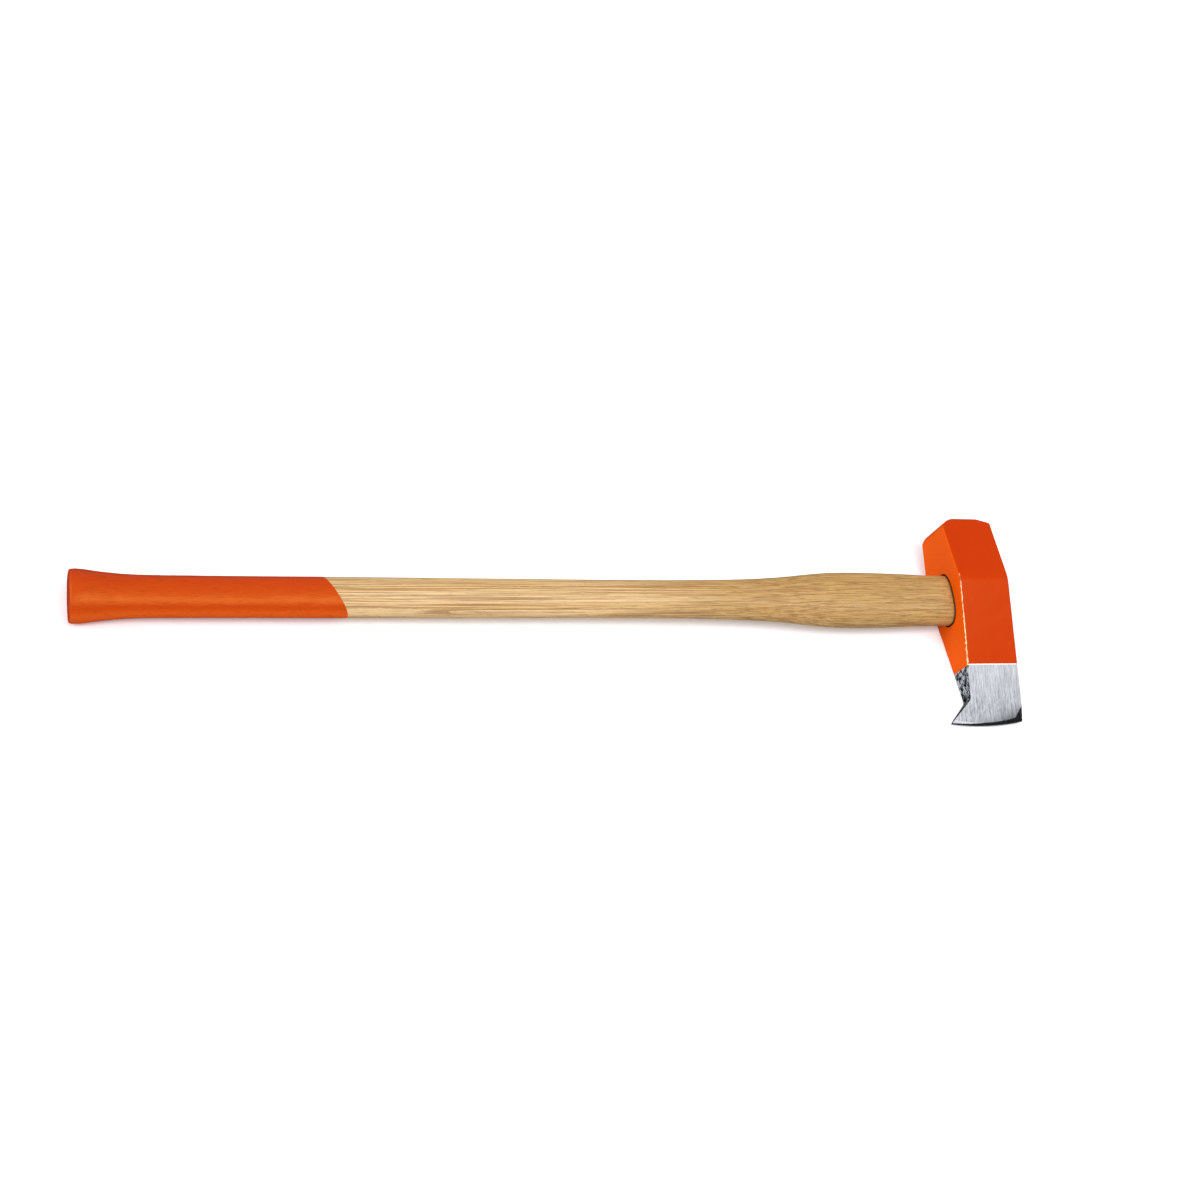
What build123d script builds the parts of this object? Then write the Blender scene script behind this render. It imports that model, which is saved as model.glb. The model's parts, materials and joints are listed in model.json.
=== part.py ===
"""A 3 kg splitting maul: a forged steel head with a turning nose on a straight hickory handle.

The tool is modelled in its own frame, in millimetres. X runs along the handle's axis, from the end
of the grip to the head. Y runs from the cutting edge to the poll. Z is the thickness, and Z = 0 is
the plane of symmetry. At the end every piece is laid down on the floor, on one cheek and the knob,
which gives the frame that the STEP files are in.

Four pieces come apart on a bench: the head, the handle, the wooden wedge that spreads the handle's
tenon in the eye, and the steel ring wedge that is driven in across the wooden one.
"""

from build123d import *
import math
import os

# ---------------------------------------------------------------------------------- head, dimensions
HEAD_X = 843.0  # the face that looks at the grip
HEAD_WIDTH = 57.0  # along the handle
TOP_X = HEAD_X + HEAD_WIDTH  # the face that looks away from the grip

POLL_Y = 82.0  # the striking face
POLL_THICK = 41.5
POLL_FLAT = 27.0  # flat middle of the striking face, along the handle
POLL_FLAT_START = 16.0  # from the grip-side face to that flat
POLL_DROP_GRIP = 11.0  # how far the poll curves down towards the grip
POLL_ARCH = (5.0, 4.4)  # where that curve passes: distance from the grip-side face, and drop
POLL_DROP_TOP = 4.0  # how far the poll slopes down towards the handle's end
POLL_ROUNDING = 10.0  # where the flat turns into that slope
POLL_RIM = 2.0  # bevel round the striking face

BULGE_Y = 13.0  # where the head is thickest, beside the eye
BULGE_THICK = 64.0
BULGE_ROUNDING = 30.0

GRIND_Y = -73.0  # the forged cheek ends here and the ground bit begins
GRIND_STEP = 0.3  # how deep the grinding bites at that line
CHEEK_THICK = 29.8  # of the forging at that line
EDGE_BLANK_THICK = 2.0  # between the ground faces, where they reach the lowest point of the edge

EDGE_Y = -132.2  # lowest point of the curved cutting edge
EDGE_LOW_X = HEAD_X + 6.0
EDGE_THICK = 0.3
EDGE_BEVEL_RISE = 1.9  # how far the bevel climbs for each millimetre of half thickness
TOE_Y = -128.6
NOSE_REACH = 23.5  # how far the turning nose stands out towards the grip
NOSE_ROOT_Y = -107.0
NOSE_TIP_Y = -129.8
NOSE_ROOT_FILLET = 7.0
TOE_FACET_LENGTH = 9.0  # how far a facet at the toe's corner reaches along the edge
TOE_FACET_Y = -126.0  # where it meets the ground face there
TOE_FACET_TOP_Y = -113.6  # and on the end face
TOE_THICK = 0.8
FORGED_EDGE_RADIUS = 1.8

# ----------------------------------------------------------------------------------- eye, dimensions
EYE_WIDTH = 51.6  # along Y at the mouth that looks at the grip
EYE_THICK = 28.6
EYE_WAIST = 20.0  # straight length before the eye flares
EYE_FLARE = 4.0  # how much wider and thicker the eye is at its top mouth
EYE_POWER = 2.5  # superellipse power of the oval
EYE_MOUTH_RADIUS = 1.0
FIT = 0.05  # clearance at each face between the head, the tenon and the wedges

# -------------------------------------------------------------------------------- handle, dimensions
KNOB_END_RADIUS = 2.5
TENON_PROUD = 3.0  # how far the tenon stands out of the head
TENON_END_X = TOP_X + TENON_PROUD
TENON_END_CHAMFER = 0.8
# Stations of the handle: distance from the grip's end, width along Y, thickness, oval's power.
HANDLE_STATIONS = [
    (0.0, 46.6, 35.6, 2.15),
    (6.0, 47.9, 36.6, 2.15),
    (18.0, 45.4, 34.6, 2.15),
    (32.0, 41.9, 31.4, 2.15),
    (52.0, 38.9, 28.6, 2.15),
    (80.0, 37.9, 27.5, 2.15),
    (200.0, 37.8, 27.2, 2.15),
    (400.0, 37.6, 27.0, 2.15),
    (560.0, 38.2, 27.2, 2.15),
    (605.0, 39.8, 27.8, 2.2),
    (640.0, 42.6, 28.8, 2.25),
    (672.0, 47.7, 30.2, 2.3),
    (700.0, 53.4, 31.6, 2.4),
    (722.0, 55.9, 32.4, 2.45),
    (750.0, 56.1, 32.4, 2.5),
    (795.0, 54.2, 31.0, 2.5),
    (HEAD_X, EYE_WIDTH - 2 * FIT, EYE_THICK - 2 * FIT, EYE_POWER),
]
KNOB_STATION = HANDLE_STATIONS[1]

# -------------------------------------------------------------------------------- wedges, dimensions
KERF_DEPTH = 46.0  # saw cut in the tenon, from its end
KERF_THICK = 2.0
WEDGE_DEPTH = 40.0
WEDGE_THICK = 8.0  # at the tenon's end
RING_DIAMETER = 22.0
RING_WALL = 2.4
RING_DEPTH = 22.0
RING_LEAD = 8.0  # length of the ring's sharpened end
RING_EDGE = 0.5  # wall left at the sharp end
RING_SUNK = 0.4  # how far its flat end lies below the tenon's end

OVAL_POINTS = 24
CUT_MARGIN = 5.0  # how far a cutting shape runs past what it cuts


def oval(width, thickness, power):
    """A superellipse face, width along the sketch's X and thickness along its Y."""
    exponent = 2 / power
    points = []
    for step in range(OVAL_POINTS):
        angle = 2 * math.pi * step / OVAL_POINTS
        along = math.copysign(abs(math.cos(angle)) ** exponent, math.cos(angle))
        across = math.copysign(abs(math.sin(angle)) ** exponent, math.sin(angle))
        points.append((width / 2 * along, thickness / 2 * across))
    with BuildSketch() as face:
        with BuildLine():
            Spline(*points, periodic=True)
        make_face()
    return face.sketch


def eye_filling(clearance, first_x, last_x):
    """The space inside the eye from first_x to last_x, less a clearance all round."""
    flare_start = HEAD_X + EYE_WAIST
    with BuildPart() as filling:
        for x in (first_x, flare_start, TOP_X, last_x):
            flare = EYE_FLARE * max(0, min(1, (x - flare_start) / (TOP_X - flare_start)))
            growth = flare - 2 * clearance
            with BuildSketch(Plane.YZ.offset(x)):
                add(oval(EYE_WIDTH + growth, EYE_THICK + growth, EYE_POWER))
        loft(ruled=True)
    return filling.part


def plane_through(first, second, third):
    """The plane through three points, its x direction from the first towards the second."""
    return Plane(first, x_dir=second - first, z_dir=(second - first).cross(third - first))


def edge_bevel():
    """All that the bevel along the cutting edge leaves of the head, a wedge standing on the edge."""
    nose_x = HEAD_X - NOSE_REACH
    with BuildPart() as wedge:
        for z in (-BULGE_THICK, -EDGE_THICK / 2, EDGE_THICK / 2, BULGE_THICK):
            rise = EDGE_BEVEL_RISE * (abs(z) - EDGE_THICK / 2)
            with BuildSketch(Plane.XY.offset(z)):
                with BuildLine():
                    edge = ThreePointArc(
                        (nose_x, NOSE_TIP_Y + rise),
                        (EDGE_LOW_X, EDGE_Y + rise),
                        (TOP_X, TOE_Y + rise),
                    )
                    Polyline(
                        edge @ 1,
                        (TOP_X + CUT_MARGIN, TOE_Y + rise),
                        (TOP_X + CUT_MARGIN, POLL_Y + CUT_MARGIN),
                        (nose_x - CUT_MARGIN, POLL_Y + CUT_MARGIN),
                        (nose_x - CUT_MARGIN, NOSE_TIP_Y + rise),
                        edge @ 0,
                    )
                make_face()
        loft(ruled=True)
    return wedge.part


def is_forged_edge(edge):
    """Whether an edge of the forging runs along a cheek, between the nose's tip and the poll."""
    middle = edge.center()
    beside = middle.X < HEAD_X + 0.1 or middle.X > TOP_X - 0.1
    return beside and abs(middle.Z) > 1 and NOSE_TIP_Y < middle.Y < POLL_Y - POLL_DROP_GRIP - POLL_RIM


def ground_half_thick(y):
    """Half the thickness between the ground faces of the bit."""
    taper = (GROUND_THICK - EDGE_BLANK_THICK) / 2 / (GRIND_Y - EDGE_Y)
    return EDGE_BLANK_THICK / 2 + taper * (y - EDGE_Y)


def lowest_on_oval(station, roll):
    """The lowest point of an oval section when the tool rolls by an angle about its handle."""
    x, width, thickness, power = station
    dual = power / (power - 1)
    reach_y = width / 2 * math.sin(roll)
    reach_z = thickness / 2 * math.cos(roll)
    reach = (reach_y**dual + reach_z**dual) ** (1 / dual)
    share_y = (reach_y / reach) ** (dual - 1)
    share_z = (reach_z / reach) ** (dual - 1)
    return Vector(x, -width / 2 * share_y, -thickness / 2 * share_z)


def slot_filling(clearance, tip_x):
    """The tapered slot that parts the tenon, from tip_x to past its end, less a clearance."""
    root_x = TENON_END_X - KERF_DEPTH
    mouth_x = TENON_END_X + CUT_MARGIN
    taper = (WEDGE_THICK - KERF_THICK) / 2 / KERF_DEPTH
    root_half = KERF_THICK / 2 - clearance
    mouth_half = root_half + taper * (mouth_x - root_x)
    with BuildPart() as filling:
        with BuildSketch(Plane.XZ.offset(-EYE_WIDTH)):
            with BuildLine():
                Polyline(
                    (root_x, -root_half),
                    (root_x, root_half),
                    (mouth_x, mouth_half),
                    (mouth_x, -mouth_half),
                    close=True,
                )
            make_face()
        extrude(amount=2 * EYE_WIDTH)
        split(bisect_by=Plane.YZ.offset(tip_x), keep=Keep.TOP)
    return filling.part


def ring(clearance, flat_x):
    """The ring wedge's shape up to its flat end, grown by a clearance at each of its other faces."""
    sharp_x = TENON_END_X - RING_SUNK - RING_DEPTH - clearance
    outer = RING_DIAMETER / 2 + clearance
    inner = RING_DIAMETER / 2 - RING_WALL - clearance
    with BuildPart() as body:
        with BuildSketch(Plane.XY):
            with BuildLine():
                Polyline(
                    (flat_x, inner),
                    (flat_x, outer),
                    (sharp_x + RING_LEAD, outer),
                    (sharp_x, inner + RING_EDGE + 2 * clearance),
                    (sharp_x, inner),
                    close=True,
                )
            make_face()
        revolve(axis=Axis.X)
    return body.part


# ---------------------------------------------------------------------------------------------- head
SWEPT_X = HEAD_X - NOSE_REACH - CUT_MARGIN
SWEPT_LENGTH = TOP_X + CUT_MARGIN - SWEPT_X
CHEEK_TAPER = (BULGE_THICK - CHEEK_THICK) / 2 / (BULGE_Y - GRIND_Y)
GROUND_THICK = CHEEK_THICK - 2 * GRIND_STEP
BLANK_Y = EDGE_Y - CUT_MARGIN

with BuildPart() as head:
    # The forging seen along the handle: poll, bulge beside the eye, cheeks that narrow to the bit.
    with BuildSketch(Plane.YZ.offset(SWEPT_X)):
        with BuildLine() as half_profile:
            Polyline(
                (POLL_Y, 0),
                (POLL_Y, POLL_THICK / 2),
                (BULGE_Y, BULGE_THICK / 2),
                (BLANK_Y, BULGE_THICK / 2 - CHEEK_TAPER * (BULGE_Y - BLANK_Y)),
                (BLANK_Y, 0),
            )
            fillet(half_profile.vertices().sort_by(Axis.Y)[-1], BULGE_ROUNDING)
            mirror(about=Plane.XZ)
        make_face()
    extrude(amount=SWEPT_LENGTH)

    # Seen from the cheek: rounded poll, turning nose and curved edge.
    with BuildSketch(Plane.XY.offset(-BULGE_THICK)) as outline:
        with BuildLine():
            Polyline(
                (HEAD_X - NOSE_REACH, NOSE_TIP_Y),
                (HEAD_X, NOSE_ROOT_Y),
                (HEAD_X, POLL_Y - POLL_DROP_GRIP),
            )
            ThreePointArc(
                (HEAD_X, POLL_Y - POLL_DROP_GRIP),
                (HEAD_X + POLL_ARCH[0], POLL_Y - POLL_ARCH[1]),
                (HEAD_X + POLL_FLAT_START, POLL_Y),
            )
            Polyline(
                (HEAD_X + POLL_FLAT_START, POLL_Y),
                (HEAD_X + POLL_FLAT_START + POLL_FLAT, POLL_Y),
                (TOP_X, POLL_Y - POLL_DROP_TOP),
                (TOP_X, TOE_Y),
            )
            ThreePointArc((TOP_X, TOE_Y), (EDGE_LOW_X, EDGE_Y), (HEAD_X - NOSE_REACH, NOSE_TIP_Y))
        make_face()
        fillet(outline.vertices().group_by(Axis.Y)[-1].sort_by(Axis.X)[-1], POLL_ROUNDING)
        fillet(outline.vertices().sort_by_distance((HEAD_X, NOSE_ROOT_Y))[0], NOSE_ROOT_FILLET)
    extrude(amount=2 * BULGE_THICK, mode=Mode.INTERSECT)

    # Bevel round the striking face, then the rounded edges that the forging die leaves.
    poll_edges = head.edges().filter_by(lambda edge: edge.center().Y > POLL_Y - POLL_DROP_GRIP - 1)
    across = poll_edges.filter_by(Axis.Z)
    chamfer(poll_edges - across + [across.sort_by(Axis.X)[-1]], POLL_RIM)
    long_edges = head.edges().filter_by(Axis.Z, reverse=True).filter_by(is_forged_edge)
    fillet(long_edges, FORGED_EDGE_RADIUS)

    # The bit is ground flat on both cheeks.
    with BuildSketch(Plane.YZ.offset(SWEPT_X)):
        with BuildLine():
            Polyline(
                (POLL_Y + CUT_MARGIN, 0),
                (POLL_Y + CUT_MARGIN, BULGE_THICK),
                (GRIND_Y, BULGE_THICK),
                (GRIND_Y, GROUND_THICK / 2),
                (EDGE_Y, EDGE_BLANK_THICK / 2),
                (BLANK_Y, 0),
            )
            mirror(about=Plane.XZ)
        make_face()
    extrude(amount=SWEPT_LENGTH, mode=Mode.INTERSECT)
    add(edge_bevel(), mode=Mode.INTERSECT)

    # A small facet takes the toe's corner off each ground face.
    for side in (1, -1):
        on_edge = Vector(TOP_X - TOE_FACET_LENGTH, TOE_FACET_Y, side * ground_half_thick(TOE_FACET_Y))
        on_toe = Vector(TOP_X, TOE_Y, side * TOE_THICK / 2)
        on_end = Vector(TOP_X, TOE_FACET_TOP_Y, side * ground_half_thick(TOE_FACET_TOP_Y))
        facet = plane_through(on_edge, on_toe, on_end)
        split(bisect_by=facet, keep=Keep.BOTTOM if side > 0 else Keep.TOP)

    add(eye_filling(0, HEAD_X - CUT_MARGIN, TOP_X + CUT_MARGIN), mode=Mode.SUBTRACT)
    eye_rims = head.edges().filter_by(lambda edge: edge.is_closed).sort_by(Axis.X)
    fillet([eye_rims[0], eye_rims[-1]], EYE_MOUTH_RADIUS)
head.part.label = "head"

# -------------------------------------------------------------------------------------------- handle
with BuildPart() as handle:
    for x, width, thickness, power in HANDLE_STATIONS:
        with BuildSketch(Plane.YZ.offset(x)):
            add(oval(width, thickness, power))
    loft()
    fillet(handle.edges().sort_by(Axis.X)[0], KNOB_END_RADIUS)
    add(eye_filling(FIT, HEAD_X, TENON_END_X))
    chamfer(handle.edges().sort_by(Axis.X)[-1], TENON_END_CHAMFER)
    add(slot_filling(0, TENON_END_X - KERF_DEPTH), mode=Mode.SUBTRACT)
    add(ring(FIT, TENON_END_X + CUT_MARGIN), mode=Mode.SUBTRACT)
handle.part.label = "handle"

# -------------------------------------------------------------------------------------------- wedges
with BuildPart() as wood_wedge:
    add(slot_filling(FIT, TENON_END_X - WEDGE_DEPTH))
    add(eye_filling(FIT, HEAD_X, TENON_END_X), mode=Mode.INTERSECT)
    add(ring(FIT, TENON_END_X + CUT_MARGIN), mode=Mode.SUBTRACT)
wood_wedge.part.label = "wood_wedge"

with BuildPart() as ring_wedge:
    add(ring(0, TENON_END_X - RING_SUNK))
ring_wedge.part.label = "ring_wedge"

# --------------------------------------------------------------------------- laid down on the floor
# The tool rests on the knob and on the corner of one forged cheek, all the way down to the bit.
corner_x = HEAD_X + FORGED_EDGE_RADIUS
cheek_at_axis = Vector(corner_x, 0, CHEEK_TAPER * BULGE_Y - BULGE_THICK / 2)
cheek_at_bit = Vector(corner_x, GRIND_Y, -CHEEK_THICK / 2)
knob_low = lowest_on_oval(KNOB_STATION, math.atan(CHEEK_TAPER))
up = plane_through(knob_low, cheek_at_bit, cheek_at_axis).z_dir
floor = Plane(knob_low, x_dir=(1, 0, 0), z_dir=up)

pieces = [head, handle, wood_wedge, ring_wedge]
box = Compound([floor.to_local_coords(piece.part) for piece in pieces]).bounding_box()
bottom_middle = Vector(box.center().X, box.center().Y, box.min.Z)
floor_frame = Plane(floor.from_local_coords(bottom_middle), x_dir=floor.x_dir, z_dir=floor.z_dir)

os.makedirs("parts", exist_ok=True)
for piece in pieces:
    laid_down = floor_frame.to_local_coords(piece.part)
    laid_down.label = piece.part.label
    export_step(laid_down, f"parts/{laid_down.label}.step")
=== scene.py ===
"""A splitting maul lying on a white studio floor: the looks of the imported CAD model.

Patterns, masks and small surface shapes are worked out in the tool's own frame, in millimetres: X runs
along the handle from the end of the grip to the head, Y from the cutting edge to the poll, and Z
through the thickness. Everything in Blender is in metres, in the frame that the model is packed in.
"""

import json
import math

import bmesh
import bpy
from mathutils import Matrix, Vector, noise


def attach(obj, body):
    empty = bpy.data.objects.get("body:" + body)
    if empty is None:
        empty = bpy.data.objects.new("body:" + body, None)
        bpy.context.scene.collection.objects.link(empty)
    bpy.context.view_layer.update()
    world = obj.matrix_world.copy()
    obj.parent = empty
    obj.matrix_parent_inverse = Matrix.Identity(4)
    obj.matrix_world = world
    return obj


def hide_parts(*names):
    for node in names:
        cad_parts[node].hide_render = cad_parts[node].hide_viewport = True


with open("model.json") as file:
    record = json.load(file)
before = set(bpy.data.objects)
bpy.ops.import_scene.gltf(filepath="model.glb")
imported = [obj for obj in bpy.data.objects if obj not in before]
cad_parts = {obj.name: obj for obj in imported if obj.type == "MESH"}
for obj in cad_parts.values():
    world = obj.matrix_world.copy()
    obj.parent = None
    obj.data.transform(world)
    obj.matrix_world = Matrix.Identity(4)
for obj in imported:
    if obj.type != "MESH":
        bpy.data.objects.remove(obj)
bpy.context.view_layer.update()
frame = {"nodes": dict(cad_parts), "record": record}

MM = 0.001

# ------------------------------------------------------------------------------------ camera and light
VIEW_AZIMUTH = 34.08  # degrees, 0 looks along +Y
VIEW_ELEVATION = 50.80
VIEW_ROLL = 28.37
VIEW_DISTANCE = 1.6644
VIEW_LENS = 53.6
AIM = Vector((0.0249, 0.0245, 0.0200))

FLOOR_SIZE = 40.0
SKY_STRENGTH = 0.38
FLOOR_GLOW = 0.2  # keeps the white floor from greying in the soft shadows

# ------------------------------------------------------------------- places on the tool, as in the CAD
HEAD_X = 843.0  # the head's face that looks at the grip
TOP_X = 900.0  # and the one that looks away from it
GRIND_Y = -73.0  # the ground bit begins here
LACQUER_Y = -74.0  # and here the lacquer ends on the two narrow faces
CHEEK_HALF = 14.9  # half the head's thickness at the grind line
CHEEK_TAPER = 0.1989  # how fast each cheek widens towards the poll
BULGE_Y = 13.0  # where the cheeks stop widening
EYE_HALF_WIDTH = 25.8
EYE_HALF_THICK = 14.3
EYE_POWER = 2.5
EYE_RIM = 3.6  # round its mouths the head keeps its CAD shape this far
GROOVE = 1.4  # how far the painted shade in the groove round the handle reaches
EDGE_Y = -132.2  # lowest point of the curved cutting edge
EDGE_LOW_X = 849.0
EDGE_CURVE = 0.0017  # how fast the edge rises from that point, by the square of the distance
TOE_Y = -128.6

# --------------------------------------------------------------------------------------------- handle
DIP_X = 225.1  # where the slanted end of the paint dip crosses the handle's axis
DIP_SLANT = 0.56  # how far it runs back towards the grip for each millimetre of Y
DIP_THICK = 0.15
FIT_X = HEAD_X - 12  # from here on the handle keeps its CAD shape, so that it still fits the eye
FIT_FADE = 20.0  # over this length before it the wood's own unevenness fades out

# -------------------------------------------------------------------------------------- mesh fineness
HEAD_CELL = 1.6
HANDLE_CELL = 6.0
CELL_START = 0.63  # the first cell's share of a whole one, which keeps cuts off the CAD's own points
WELD = 1e-6  # in metres
FLAT_ANGLE = 0.1  # faces nearer to one plane than this are joined before cutting, in degrees
MERGE = 0.1  # points nearer than this become one
SNAP = 0.02  # how near to a cut a point counts as on it
SHARP_ANGLE = 24.0
GROUND_TILT = 0.96  # ground faces look through the thickness at least this much, as a cosine
BEVEL_TILT = 0.8  # and bevels at least this much


def tool_frame():
    """The tool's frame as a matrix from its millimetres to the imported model's metres."""
    mounts = {mount["name"]: mount for mount in frame["record"]["mounts"]}
    along = -Vector(mounts["grip"]["axis"]).normalized()
    upward = Vector(mounts["poll_face"]["axis"]).normalized()
    through = along.cross(upward).normalized()
    turn = Matrix((along, upward, through)).transposed().to_4x4()
    return Matrix.Translation(mounts["grip"]["pos_m"]) @ turn @ Matrix.Scale(MM, 4)


TOOL = tool_frame()


def srgb(red, green, blue):
    """A colour given as it looks on a screen, from 0 to 255, as the linear values that shaders use."""
    shares = [value / 255 for value in (red, green, blue)]
    linear = [((share + 0.055) / 1.055) ** 2.4 if share > 0.04045 else share / 12.92 for share in shares]
    return (*linear, 1.0)


# ------------------------------------------------------------------------------------- shader building
class Shader:
    """A material and short ways to add to its nodes. A value is a number, a tuple or a node's output."""

    def __init__(self, name, **surface):
        self.material = bpy.data.materials.new(name)
        self.material.use_nodes = True
        self.tree = self.material.node_tree
        self.surface = self.tree.nodes["Principled BSDF"]
        self.finish(**surface)
        self.point = self.tool_point()
        self.x, self.y, self.z = self.parts(self.point)

    def feed(self, node, inputs):
        """Gives each input of a node, by its name or number, its value or its link."""
        for name, value in inputs.items():
            if isinstance(value, bpy.types.NodeSocket):
                self.tree.links.new(value, node.inputs[name])
            else:
                node.inputs[name].default_value = value
        return node

    def finish(self, **surface):
        """Sets the surface's own inputs, named with underscores for spaces."""
        self.feed(self.surface, {name.replace("_", " "): value for name, value in surface.items()})

    def add(self, kind, inputs, **settings):
        """A new node of a kind, with its settings and inputs."""
        node = self.tree.nodes.new("ShaderNode" + kind)
        for name, value in settings.items():
            setattr(node, name, value)
        return self.feed(node, inputs)

    def tool_point(self):
        """The shaded point in the tool's frame, in millimetres."""
        place = self.add("TexCoord", {}).outputs["Object"]
        inputs = {
            "Vector": place,
            "Location": TOOL.translation,
            "Rotation": TOOL.to_euler(),
            "Scale": (MM,) * 3,
        }
        return self.add("Mapping", inputs, vector_type="TEXTURE").outputs[0]

    def parts(self, vector):
        """The x, y and z of a vector."""
        return self.add("SeparateXYZ", {0: vector}).outputs[:3]

    def math(self, operation, *values):
        """A number worked out from others by one of Blender's math operations."""
        return self.add("Math", dict(enumerate(values)), operation=operation).outputs[0]

    def plus(self, first, *others):
        for value in others:
            first = self.math("ADD", first, value)
        return first

    def times(self, first, *others):
        for value in others:
            first = self.math("MULTIPLY", first, value)
        return first

    def minus(self, first, second):
        return self.math("SUBTRACT", first, second)

    def step(self, value, start, end):
        """Rises smoothly from 0 to 1 as the value goes from start to end."""
        inputs = {"Value": value, "From Min": start, "From Max": end}
        return self.add("MapRange", inputs, interpolation_type="SMOOTHSTEP").outputs[0]

    def blend(self, share, low, high):
        """A number between low and high."""
        return self.add("Mix", {0: share, 2: low, 3: high}, data_type="FLOAT").outputs[0]

    def mix(self, share, low, high):
        """A colour between low and high."""
        return self.add("Mix", {0: share, 6: low, 7: high}, data_type="RGBA").outputs[2]

    def facing(self, axis):
        """How far the surface faces along one of the tool's axes: 1 straight along it, -1 against it."""
        normal = self.add("TexCoord", {}).outputs["Normal"]
        direction = TOOL.to_3x3().col[axis].normalized()
        return self.add("VectorMath", {0: normal, 1: direction}, operation="DOT_PRODUCT").outputs["Value"]

    def oval(self, half_y, half_z, power):
        """A superellipse about the handle's axis: 1 on the oval and less inside it."""
        across = self.math("POWER", self.math("ABSOLUTE", self.times(self.y, 1 / half_y)), power)
        through = self.math("POWER", self.math("ABSOLUTE", self.times(self.z, 1 / half_z)), power)
        return self.plus(across, through)

    def noise(self, cell, detail=2.0, rough=0.5, seed=0.0):
        """Noise from 0 to 1 with cells of a size in millimetres along X, Y and Z."""
        scale = [1 / size for size in cell]
        place = self.add("VectorMath", {0: self.point, 1: scale, 2: (seed,) * 3}, operation="MULTIPLY_ADD")
        inputs = {"Vector": place.outputs[0], "Scale": 1.0, "Detail": detail, "Roughness": rough}
        return self.add("TexNoise", inputs).outputs[0]

    def bump(self, height):
        """A normal bent by a height in millimetres."""
        return self.add("Bump", {"Strength": 1.0, "Distance": MM, "Height": height}).outputs[0]


# ------------------------------------------------------------------------------------------- materials
LACQUER = srgb(181, 49, 5)
LACQUER_LIGHT = srgb(185, 53, 5)
# A lighter, yellower orange, painted on the sides of the lacquer and the dip that catch more light: painted
# light.
LIT_SIDE_ORANGE = srgb(213, 80, 3)
DIP_PAINT = srgb(184, 53, 6)
DIP_PAINT_LIGHT = srgb(190, 58, 6)
DIP_GLOSS = (1.0, 0.62, 0.12, 1.0)
LACQUER_GLOSS = (1.0, 0.72, 0.2, 1.0)


def edge_glint_and_wear(shader, lacquer):
    """Masks of a broken bright line where the upper cheek rounds over towards the grip, partly bare wear
    and partly a painted highlight on the rounded edge, and of a painted shadow line beside it.
    """
    x, y, z = shader.x, shader.y, shader.z
    cheek = shader.plus(CHEEK_HALF, shader.times(shader.minus(y, GRIND_Y), CHEEK_TAPER))
    bright_line_x = shader.plus(HEAD_X + 0.5, shader.times(shader.minus(y, GRIND_Y), 0.012))
    ragged = shader.noise((2, 4, 2), detail=4, rough=0.7, seed=8.4)
    aside = shader.math("ABSOLUTE", shader.minus(x, bright_line_x))
    thin = shader.blend(shader.step(y, BULGE_Y - 12, BULGE_Y + 4), 0.26, 0.0)
    width = shader.plus(thin, shader.times(shader.minus(ragged, 0.46), 2.6))
    past = shader.minus(aside, width)
    corner = shader.times(
        shader.step(shader.minus(cheek, z), 2.2, 1.8),
        shader.step(y, BULGE_Y + 9, BULGE_Y - 3),
        lacquer,
    )
    glint_and_wear = shader.times(corner, shader.step(past, 0.1, -0.1))
    shadow_line = shader.times(corner, shader.step(past, 0.7, 0.1))
    return glint_and_wear, shadow_line


def eye_groove_shade(shader):
    """A mask of painted shade in the groove where the handle enters the head."""
    oval = shader.oval(EYE_HALF_WIDTH + GROOVE, EYE_HALF_THICK + GROOVE, EYE_POWER)
    return shader.times(shader.step(oval, 1.06, 0.97), shader.step(shader.x, HEAD_X + 20, HEAD_X + 10))


def mill_scale(shader):
    """The bare scale's colour, dark with grey flakes drawn out along the forging, and the flakes."""
    flakes = shader.noise((1.3, 3.6, 1.4), detail=4, rough=0.75, seed=1.7)
    patches = shader.noise((6, 8, 6), detail=2, seed=5.5)
    shade = shader.step(shader.y, LACQUER_Y - 40, LACQUER_Y - 20)
    flaked = shader.plus(flakes, shader.times(shader.minus(patches, 0.5), 0.35))
    grey = shader.times(shader.step(flaked, 0.48, 0.54), shader.blend(shade, 0.1, 1.0))
    return shader.mix(grey, srgb(8, 9, 12), srgb(184, 192, 204)), flakes


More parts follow.
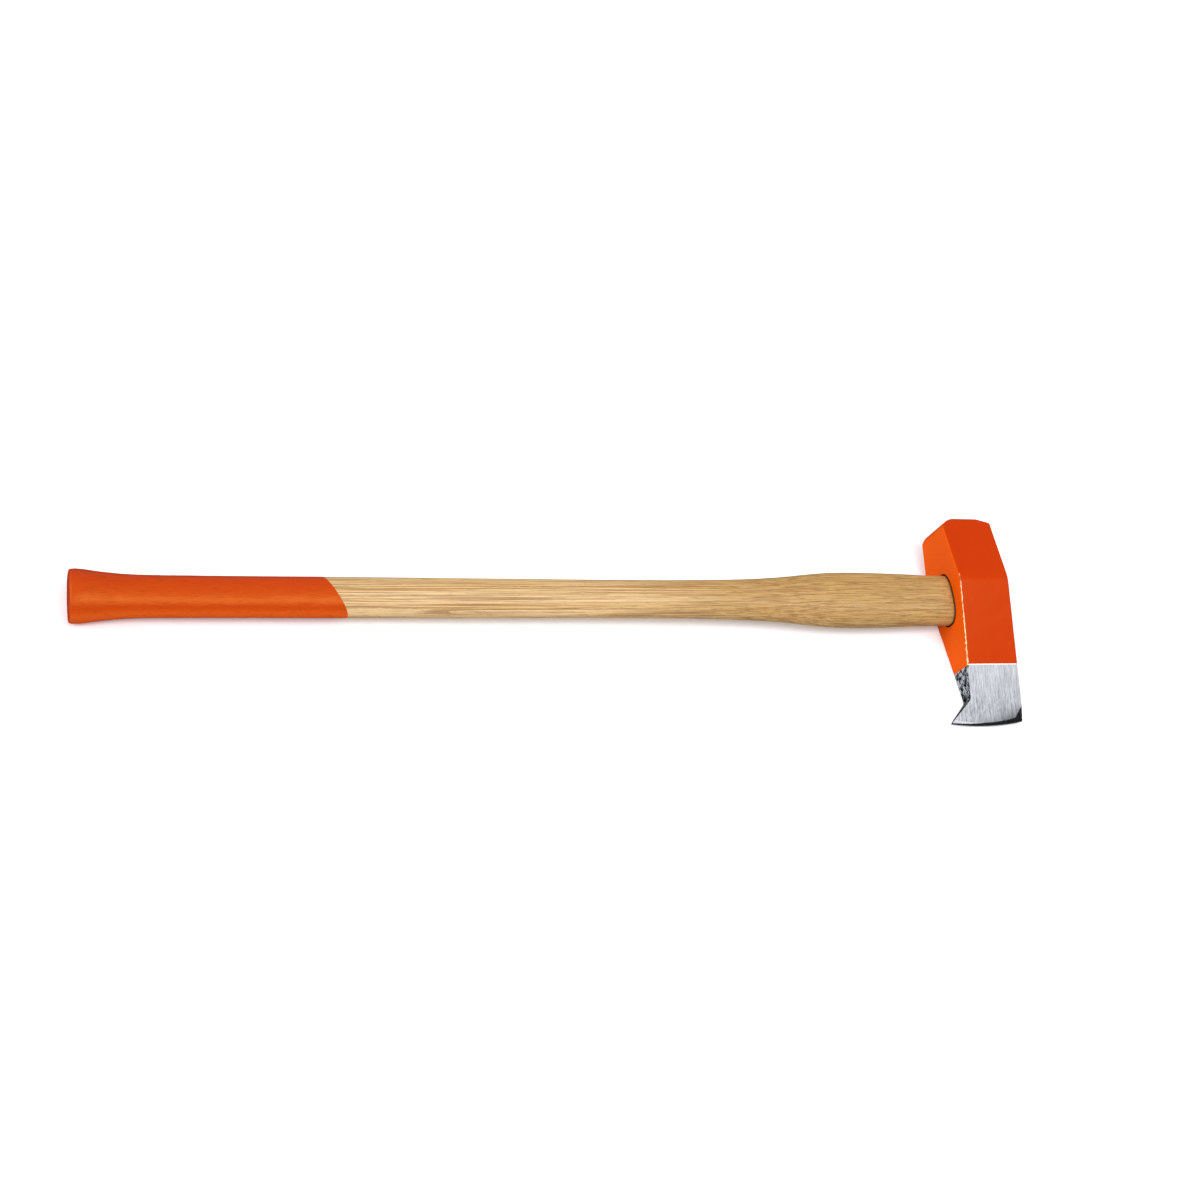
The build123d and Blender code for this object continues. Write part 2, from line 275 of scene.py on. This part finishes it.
def forging_material():
    """Glossy orange lacquer over the forging, with a worn line and painted highlight along one edge beside
    a painted shadow line, painted lighter on its narrow faces, painted shade in the groove round the
    handle, and bare mill scale beside the bit.
    """
    shader = Shader("orange_lacquer", Specular_IOR_Level=0.12, Specular_Tint=LACQUER_GLOSS)

    # The lacquer ends a little unevenly on the two narrow faces.
    wander = shader.noise((5, 5, 5), detail=3, seed=3.1)
    above = shader.plus(shader.y, shader.times(shader.minus(wander, 0.5), 1.6))
    lacquer = shader.step(above, LACQUER_Y - 0.25, LACQUER_Y + 0.1)
    glint_and_wear, shadow_line = edge_glint_and_wear(shader, lacquer)
    scale_colour, flakes = mill_scale(shader)

    depth = shader.noise((30, 30, 30), detail=3, seed=2.2)
    orange = shader.mix(depth, LACQUER, LACQUER_LIGHT)
    # Painted light: the narrow faces, lit from the side, are painted a lighter, yellower orange.
    narrow = shader.step(shader.math("ABSOLUTE", shader.facing(0)), 0.5, 0.8)
    orange = shader.mix(narrow, orange, LIT_SIDE_ORANGE)
    # Painted shadow: a darker orange line runs beside the bright line.
    coat = shader.mix(shader.times(shadow_line, 0.45), orange, srgb(110, 28, 4))
    # The bright line is partly bare wear and partly a painted highlight on the rounded edge.
    coat = shader.mix(glint_and_wear, coat, srgb(240, 200, 155))
    # Painted shade: near-black in the groove round the handle's mouth.
    coat = shader.mix(eye_groove_shade(shader), coat, srgb(28, 9, 5))
    peel = shader.noise((3, 3, 3), detail=1, seed=6.1)
    height = shader.plus(
        shader.times(lacquer, shader.plus(0.12, shader.times(peel, 0.008))),
        shader.times(glint_and_wear, -0.05),
        shader.times(shader.minus(1.0, lacquer), shader.times(flakes, 0.12)),
    )
    shader.finish(
        Base_Color=shader.mix(lacquer, scale_colour, coat),
        Roughness=shader.blend(lacquer, 0.62, 0.29),
        Metallic=shader.blend(lacquer, 0.3, 0.0),
        Normal=shader.bump(height),
    )
    return shader.material


def ground_material():
    """The bit's ground faces: light steel with fine belt marks from the lacquer to the edge, and a painted
    highlight along the grind line.
    """
    shader = Shader("ground_steel", Metallic=0.7)
    marks = shader.noise((1.0, 24, 8), detail=4, rough=0.75, seed=4.0)
    broad = shader.noise((4.0, 60, 20), detail=2, seed=9.0)
    short = shader.noise((0.9, 5, 8), detail=3, rough=0.6, seed=7.3)
    low = shader.step(shader.y, GRIND_Y - 14, GRIND_Y - 50)
    tone = shader.plus(
        shader.times(shader.minus(marks, 0.5), 1.9),
        shader.times(shader.minus(broad, 0.5), 0.3),
        shader.times(shader.minus(short, 0.5), shader.blend(low, 0.5, 1.4)),
        shader.blend(low, 0.58, 0.47),
    )
    colour = shader.mix(tone, srgb(102, 106, 113), srgb(203, 206, 212))
    # Painted highlight: a near-white line along the step where the grinding meets the lacquer.
    rim = shader.step(shader.y, GRIND_Y - 1.0, GRIND_Y - 0.4)
    colour = shader.mix(rim, colour, srgb(255, 252, 248))

    # Painted shade with dark scale creeps up from the edge towards the toe.
    toe_reach = shader.plus(
        shader.times(shader.minus(shader.x, TOP_X), 0.022),
        shader.times(shader.minus(shader.y, TOE_Y), -0.062),
        shader.times(shader.minus(short, 0.5), 1.8),
    )
    toe_shade = shader.step(toe_reach, -1.3, 0.0)
    colour = shader.mix(shader.times(toe_shade, 0.9), colour, srgb(36, 38, 42))
    shader.finish(
        Base_Color=colour,
        Roughness=shader.blend(marks, 0.36, 0.5),
        Normal=shader.bump(shader.times(shader.plus(marks, shader.times(short, 0.5)), 0.02)),
    )
    return shader.material


def bevel_material():
    """The bevel along the cutting edge and the toe's facet: dark steel, made darker to paint in the dark it
    reflects, with a painted highlight along its crest towards the nose, and painted shade with dark scale
    at the toe.
    """
    shader = Shader("edge_steel", Metallic=0.6)
    x, y = shader.x, shader.y
    from_low = shader.minus(x, EDGE_LOW_X)
    height = shader.minus(y, shader.plus(EDGE_Y, shader.times(from_low, from_low, EDGE_CURVE)))
    drawn = shader.noise((14, 1.0, 1.0), detail=4, rough=0.65, seed=6.6)
    marks = shader.noise((0.9, 3.0, 2), detail=4, rough=0.7, seed=2.5)
    dark_height = shader.plus(
        shader.blend(shader.step(x, EDGE_LOW_X - 10, TOP_X - 16), 2.0, 3.3),
        shader.blend(shader.step(x, TOP_X - 13, TOP_X - 7), 0.0, 16.0),
        shader.times(shader.minus(drawn, 0.5), 3.6),
    )
    # Painted highlight: the bevel's upper band, towards the nose, is painted bright; below it, and all over
    # near the toe, the dark paints in reflection and shade.
    crest_highlight = shader.step(shader.minus(height, dark_height), -0.2, 0.5)
    dark = shader.mix(shader.step(marks, 0.55, 0.75), srgb(14, 15, 18), srgb(110, 113, 118))
    shader.finish(
        Base_Color=shader.mix(crest_highlight, dark, srgb(228, 231, 235)),
        Roughness=shader.blend(marks, 0.3, 0.55),
        Normal=shader.bump(shader.times(marks, 0.03)),
    )
    return shader.material


def hickory(shader, darker):
    """The colour, and the height in millimetres, of sanded hickory with its grain along X."""
    x, y, z = shader.x, shader.y, shader.z

    # Growth rings about an axis well outside the handle, so that they run along its broad sides.
    bend = shader.noise((380, 30, 30), detail=2, seed=11.0)
    across = shader.math("POWER", shader.minus(y, 112), 2.0)
    down = shader.math("POWER", shader.plus(z, 58), 2.0)
    radius = shader.plus(
        shader.math("SQRT", shader.plus(across, down)),
        shader.times(bend, 9.0),
        shader.times(x, 0.007),
    )
    ring = shader.math("FRACT", shader.times(radius, 0.42))
    late = shader.times(shader.step(ring, 0.55, 0.85), shader.step(ring, 1.0, 0.92))
    strength = shader.step(shader.noise((200, 4, 4), detail=2, rough=0.6, seed=14.0), 0.34, 0.6)

    lines = shader.step(shader.noise((150, 0.85, 0.85), detail=2, rough=0.6, seed=26.0), 0.51, 0.58)
    pores = shader.step(shader.noise((20, 0.75, 0.75), detail=2, rough=0.6, seed=21.0), 0.55, 0.66)
    dashes = shader.times(pores, shader.blend(darker, 0.5, 1.0))
    fibres = shader.noise((30, 0.45, 0.45), detail=3, rough=0.6, seed=3.0)
    broad = shader.noise((260, 7, 7), detail=2, seed=17.0)

    base = shader.mix(shader.step(broad, 0.3, 0.7), srgb(219, 188, 140), srgb(206, 168, 113))
    base = shader.mix(darker, base, srgb(182, 145, 86))
    base = shader.mix(shader.times(late, strength, 0.75), base, srgb(146, 103, 58))
    base = shader.mix(shader.times(lines, 0.7), base, srgb(142, 100, 54))
    base = shader.mix(shader.times(shader.step(fibres, 0.5, 0.8), 0.4), base, srgb(232, 208, 170))
    base = shader.mix(shader.times(dashes, 0.62), base, srgb(108, 72, 40))
    height = shader.plus(shader.times(fibres, 0.03), shader.times(dashes, -0.06), shader.times(late, 0.015))
    return base, height


def handle_material():
    """Varnished hickory, darker in the swell, with a painted shadow in the corner where it meets the head.
    """
    shader = Shader("varnished_hickory", Roughness=0.45, Specular_IOR_Level=0.3)
    wood, height = hickory(shader, shader.step(shader.x, 430, 650))
    # Painted shadow: the wood darkens where it enters the head.
    corner = shader.times(
        shader.step(shader.x, HEAD_X - 1.6, HEAD_X - 0.5),
        shader.step(shader.x, HEAD_X + 6, HEAD_X + 2),
    )
    shader.finish(
        Base_Color=shader.mix(shader.times(corner, 0.8), wood, srgb(58, 30, 16)),
        Normal=shader.bump(height),
    )
    return shader.material


def dip_material():
    """The orange paint that the grip is dipped in, in which the wood's grain stands as fine ridges."""
    shader = Shader("orange_dip", Specular_IOR_Level=0.6, Specular_Tint=DIP_GLOSS)
    sags = shader.noise((26, 12, 12), detail=2, seed=9.5)
    ridges = shader.noise((9, 1.1, 1.1), detail=3, rough=0.65, seed=15.0)
    paint = shader.mix(sags, DIP_PAINT, DIP_PAINT_LIGHT)
    # Painted light: the grip's side that faces the cutting edge's way is painted a lighter, yellower
    # orange.
    paint = shader.mix(shader.step(shader.facing(1), -0.55, -0.95), paint, LIT_SIDE_ORANGE)
    shader.finish(
        Base_Color=shader.mix(shader.times(shader.step(ridges, 0.5, 0.72), 0.4), paint, srgb(140, 34, 4)),
        Roughness=0.37,
        Normal=shader.bump(shader.plus(shader.times(ridges, 0.24), shader.times(sags, 0.05))),
    )
    return shader.material


def wedge_wood_material():
    """The wooden wedge: a darker, denser wood, its fibres along the wedge, showing end grain."""
    shader = Shader("wedge_wood", Roughness=0.66)
    pores = shader.noise((20, 0.5, 0.5), detail=3, rough=0.65, seed=31.0)
    rings = shader.noise((90, 1.2, 6), detail=2, seed=33.0)
    colour = shader.mix(rings, srgb(150, 104, 62), srgb(190, 142, 92))
    colour = shader.mix(shader.step(pores, 0.55, 0.72), colour, srgb(96, 62, 36))
    shader.finish(Base_Color=colour, Normal=shader.bump(shader.times(pores, 0.08)))
    return shader.material


def ring_material():
    """The ring wedge: turned steel with fine tool marks round its axis."""
    shader = Shader("turned_steel", Metallic=0.9)
    squares = shader.plus(shader.times(shader.y, shader.y), shader.times(shader.z, shader.z))
    radius = shader.math("SQRT", squares)
    turns = shader.math("SINE", shader.times(radius, 26.0))
    stains = shader.noise((5, 5, 5), detail=3, seed=41.0)
    tone = shader.plus(shader.times(stains, 0.8), shader.times(turns, 0.08))
    shader.finish(
        Base_Color=shader.mix(tone, srgb(120, 120, 122), srgb(196, 197, 200)),
        Roughness=shader.blend(stains, 0.3, 0.5),
        Normal=shader.bump(shader.times(turns, 0.01)),
    )
    return shader.material


# -------------------------------------------------------------------------------------- finer surfaces
def cut(mesh, point, normal):
    """Cuts every face of a mesh along a plane, given in the tool's frame."""
    everything = mesh.verts[:] + mesh.edges[:] + mesh.faces[:]
    bmesh.ops.bisect_plane(mesh, geom=everything, dist=SNAP, plane_co=point, plane_no=normal)


def tidy(mesh):
    """Removes the slivers that cutting leaves."""
    bmesh.ops.remove_doubles(mesh, verts=mesh.verts, dist=MERGE)
    bmesh.ops.dissolve_degenerate(mesh, edges=mesh.edges[:], dist=SNAP)
    mesh.normal_update()


def divided(node, cells):
    """A CAD node's own surface in the tool's frame, cut into cells of a size along X, Y and Z."""
    mesh = bmesh.new()
    mesh.from_mesh(frame["nodes"][node].data)
    bmesh.ops.remove_doubles(mesh, verts=mesh.verts, dist=WELD)
    mesh.transform(TOOL.inverted())
    bmesh.ops.dissolve_limit(mesh, angle_limit=math.radians(FLAT_ANGLE), verts=mesh.verts, edges=mesh.edges)
    for axis, cell in enumerate(cells):
        places = [vertex.co[axis] for vertex in mesh.verts]
        count = math.floor((max(places) - min(places)) / cell) if cell else 0
        normal = Vector([float(other == axis) for other in range(3)])
        for number in range(1, count + 1):
            cut(mesh, normal * (min(places) + (number - 1 + CELL_START) * cell), normal)
    tidy(mesh)
    return mesh


def shown(mesh, name, node, slot, *materials):
    """Turns a mesh in the tool's frame into the piece that stands for a CAD node."""
    mesh.transform(TOOL)
    mesh.normal_update()
    data = bpy.data.meshes.new(name)
    mesh.to_mesh(data)
    mesh.free()
    for material in materials:
        data.materials.append(material)
    piece = bpy.data.objects.new(name, data)
    bpy.context.scene.collection.objects.link(piece)
    even = piece.modifiers.new("even_shading", "WEIGHTED_NORMAL")
    even.keep_sharp = True
    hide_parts(node)
    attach(piece, "root")
    return piece


def mark_sharp(mesh):
    """Shades a mesh smooth, but sharp where its faces meet at more than a small angle."""
    for face in mesh.faces:
        face.smooth = True
    for edge in mesh.edges:
        edge.smooth = edge.calc_face_angle(0.0) < math.radians(SHARP_ANGLE)


def in_eye(place):
    """Whether a point of the head lies in its eye, or at its mouths."""
    across = abs(place.y / (EYE_HALF_WIDTH + EYE_RIM)) ** EYE_POWER
    through = abs(place.z / (EYE_HALF_THICK + EYE_RIM)) ** EYE_POWER
    return across + through < 1


def outward(vertex):
    """The average direction of the faces round a point, each counted by its area."""
    return sum((face.normal * face.calc_area() for face in vertex.link_faces), Vector()).normalized()


def forging_depth(place):
    """How deep the forging's skin dips at a point: broad hammer work, and pits in the bare scale."""
    broad = 0.10 * (1 + noise.noise(place / 15)) + 0.03 * (1 + noise.noise(place / 5))
    if place.y > GRIND_Y:
        return broad
    pit_place = Vector((place.x / 2.2, place.y / 3.5, place.z / 2.2)) + Vector((7, 7, 7))
    return broad + 0.16 * (1 + noise.noise(pit_place))


def head_surface(mesh):
    """Sorts the head's faces into forging, ground faces and bevels, and gives the forging its skin."""
    for face in mesh.faces:
        tilt = abs(face.normal.z)
        if face.calc_center_median().y < GRIND_Y and tilt > BEVEL_TILT:
            face.material_index = 1 if tilt > GROUND_TILT else 2
    mark_sharp(mesh)
    moves = {}
    for vertex in mesh.verts:
        forged = all(face.material_index == 0 for face in vertex.link_faces)
        if forged and not in_eye(vertex.co):
            moves[vertex] = outward(vertex) * -forging_depth(vertex.co)
    for vertex, move in moves.items():
        vertex.co += move


def past_dip(place):
    """How far along the handle a point lies past the end of the paint dip."""
    return place.x - DIP_X + DIP_SLANT * place.y


def handle_surface(mesh):
    """Cuts the handle along the end of its paint dip, and lets the wood lie below the paint."""
    for offset in (0, DIP_THICK):
        cut(mesh, Vector((DIP_X + offset, 0, 0)), Vector((1, DIP_SLANT, 0)).normalized())
    tidy(mesh)
    mark_sharp(mesh)
    for face in mesh.faces:
        face.material_index = int(past_dip(face.calc_center_median()) < 0)
    moves = {}
    for vertex in mesh.verts:
        place = vertex.co
        if place.x > FIT_X:
            continue
        wave = 0.10 * (1 + noise.noise(Vector((place.x / 70, place.y / 16, place.z / 16))))
        bare = min(1, max(0, past_dip(place) / DIP_THICK))
        fade = min(1, (FIT_X - place.x) / FIT_FADE)
        moves[vertex] = outward(vertex) * -fade * (wave + bare * DIP_THICK)
    for vertex, move in moves.items():
        vertex.co += move


def build_head():
    mesh = divided("head", (HEAD_CELL,) * 3)
    head_surface(mesh)
    materials = forging_material(), ground_material(), bevel_material()
    shown(mesh, "forged_head", "head", "head_paint", *materials)


def build_handle():
    mesh = divided("handle", (HANDLE_CELL, 0, 0))
    handle_surface(mesh)
    materials = handle_material(), dip_material()
    shown(mesh, "hickory_handle", "handle", "hickory", *materials)


def finish_wedges():
    """The two wedges keep their CAD shapes and take materials of their own."""
    for node, material in (("wood_wedge", wedge_wood_material()), ("ring_wedge", ring_material())):
        slot = frame["nodes"][node].material_slots[0]
        slot.link = "OBJECT"
        slot.material = material


# ---------------------------------------------------------------------------------------- the studio
def build_camera():
    data = bpy.data.cameras.new("camera")
    data.lens = VIEW_LENS
    camera = bpy.data.objects.new("camera", data)
    bpy.context.scene.collection.objects.link(camera)
    turn = Matrix.Rotation(-math.radians(VIEW_AZIMUTH), 4, "Z")
    tilt = Matrix.Rotation(math.radians(90 - VIEW_ELEVATION), 4, "X")
    roll = Matrix.Rotation(math.radians(VIEW_ROLL), 4, "Z")
    back = Matrix.Translation((0, 0, VIEW_DISTANCE))
    camera.matrix_world = Matrix.Translation(AIM) @ turn @ tilt @ back @ roll
    bpy.context.scene.camera = camera


def build_floor():
    """A plain white floor, far wider than any view of the tool."""
    mesh = bmesh.new()
    bmesh.ops.create_grid(mesh, x_segments=1, y_segments=1, size=FLOOR_SIZE / 2)
    data = bpy.data.meshes.new("floor")
    mesh.to_mesh(data)
    mesh.free()
    floor = bpy.data.objects.new("floor", data)
    bpy.context.scene.collection.objects.link(floor)
    paper = bpy.data.materials.new("white_paper")
    paper.use_nodes = True
    surface = paper.node_tree.nodes["Principled BSDF"]
    surface.inputs["Base Color"].default_value = (0.91, 0.91, 0.96, 1)
    surface.inputs["Roughness"].default_value = 0.9
    surface.inputs["Specular IOR Level"].default_value = 0.1
    surface.inputs["Emission Color"].default_value = (1, 1, 1, 1)
    surface.inputs["Emission Strength"].default_value = FLOOR_GLOW
    data.materials.append(paper)
    floor.visible_glossy = False


def aimed(name, data, place):
    """Puts a light at a place, turned towards the middle of the tool."""
    lamp = bpy.data.objects.new(name, data)
    bpy.context.scene.collection.objects.link(lamp)
    away = Vector(place) - AIM
    lamp.matrix_world = Matrix.Translation(place) @ away.to_track_quat("Z", "Y").to_matrix().to_4x4()


def wide_light(name, place, strength, spread, colour):
    """A soft light that is the same everywhere, as from a big box far away."""
    data = bpy.data.lights.new(name, "SUN")
    data.energy = strength
    data.angle = math.radians(spread)
    data.color = colour
    aimed(name, data, place)


def strip_light(name, place, size, watts):
    """A long narrow light that draws a highlight along the handle."""
    data = bpy.data.lights.new(name, "AREA")
    data.shape = "RECTANGLE"
    data.size, data.size_y = size
    data.energy = watts
    aimed(name, data, place)


def build_light():
    world = bpy.data.worlds.new("studio")
    world.use_nodes = True
    nodes = world.node_tree.nodes
    links = world.node_tree.links
    direction = nodes.new("ShaderNodeTexCoord").outputs["Generated"]
    height = nodes.new("ShaderNodeSeparateXYZ")
    above = nodes.new("ShaderNodeMapRange")
    above.inputs["From Min"].default_value = -0.04
    above.inputs["From Max"].default_value = 0.0
    above.inputs["To Max"].default_value = SKY_STRENGTH
    links.new(direction, height.inputs[0])
    links.new(height.outputs[2], above.inputs["Value"])
    links.new(above.outputs[0], nodes["Background"].inputs["Strength"])
    nodes["Background"].inputs["Color"].default_value = (1, 1, 1, 1)
    bpy.context.scene.world = world
    bpy.context.scene.view_settings.view_transform = "Standard"
    wide_light("left_box", (-2.2, 0.2, 1.4), 1.75, 45, (1.0, 0.98, 0.95))
    wide_light("top_box", (-0.2, 0.6, 2.5), 0.38, 60, (1, 1, 1))
    strip_light("strip_box", (0.35, -0.72, 2.1), (2.6, 0.2), 38)


build_camera()
build_floor()
build_light()
build_head()
build_handle()
finish_wedges()
